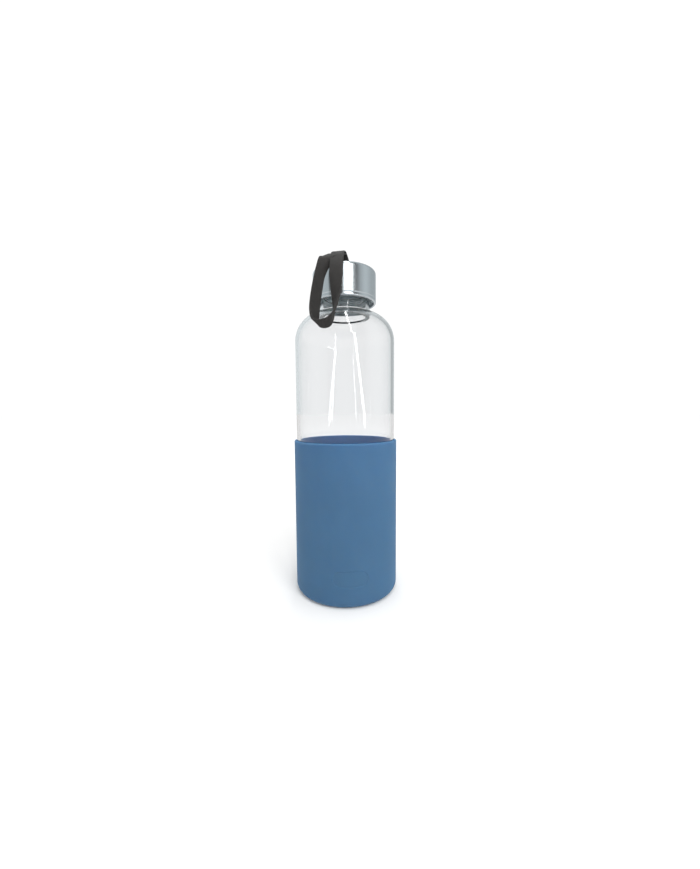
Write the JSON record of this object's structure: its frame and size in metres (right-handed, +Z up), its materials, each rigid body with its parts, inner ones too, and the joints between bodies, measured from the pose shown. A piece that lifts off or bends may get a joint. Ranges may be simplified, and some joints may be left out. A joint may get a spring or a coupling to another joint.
{
  "type": "glass water bottle",
  "caption": "Glass water bottle in a silicone sleeve, with a steel screw cap, inner sealing liner and a webbing carry loop.",
  "frame": {"origin": "centre of the flat base of the sleeve, on the surface it stands on", "axes": "+Z up along the bottle's axis, -Y to the front where the pressed pad and the carry loop are, +X to the right seen from the front"},
  "size_m": [0.072, 0.0776, 0.2329],
  "materials": {
    "silicone": "matt moulded silicone",
    "glass": "clear, fire polished",
    "steel": "satin, fine turned grain",
    "liner_plastic": "moulded polypropylene",
    "gasket_silicone": "translucent silicone",
    "grommet_plastic": "moulded",
    "webbing": "tight plain weave"
  },
  "bodies": {
    "sleeve": {"silicone_sleeve": "silicone"},
    "glass": {"glass_body": "glass"},
    "seal": {"cap_gasket": "gasket_silicone"},
    "cap": {"cap_shell": "steel", "cap_liner": "liner_plastic", "crown_grommet": "grommet_plastic", "strap_pin": "steel", "strap_root": "webbing"},
    "strap": {"strap_loop": "webbing"}
  },
  "joints": [
    {"name": "glass_lift", "type": "slide", "parent": "sleeve", "child": "glass", "axis": [0, 0, 1], "range_m": [0, 0.11]},
    {"name": "cap_rise", "type": "slide", "parent": "glass", "child": "seal", "axis": [0, 0, 1], "range_m": [0, 0.01575]},
    {"name": "cap_turn", "type": "hinge", "parent": "seal", "child": "cap", "pos_m": [0, 0, 0.2], "axis": [0, 0, 1], "range_deg": [0, 1260.5]},
    {"name": "strap_swing", "type": "hinge", "parent": "cap", "child": "strap", "pos_m": [-0.0022, -0.0025, 0.2316], "axis": [-0.9536, 0.3011, 0], "range_deg": [0, 130]}
  ],
  "couplings": [
    {"joint": "cap_turn", "follows": "cap_rise", "rad_per_m": 1396.3}
  ]
}
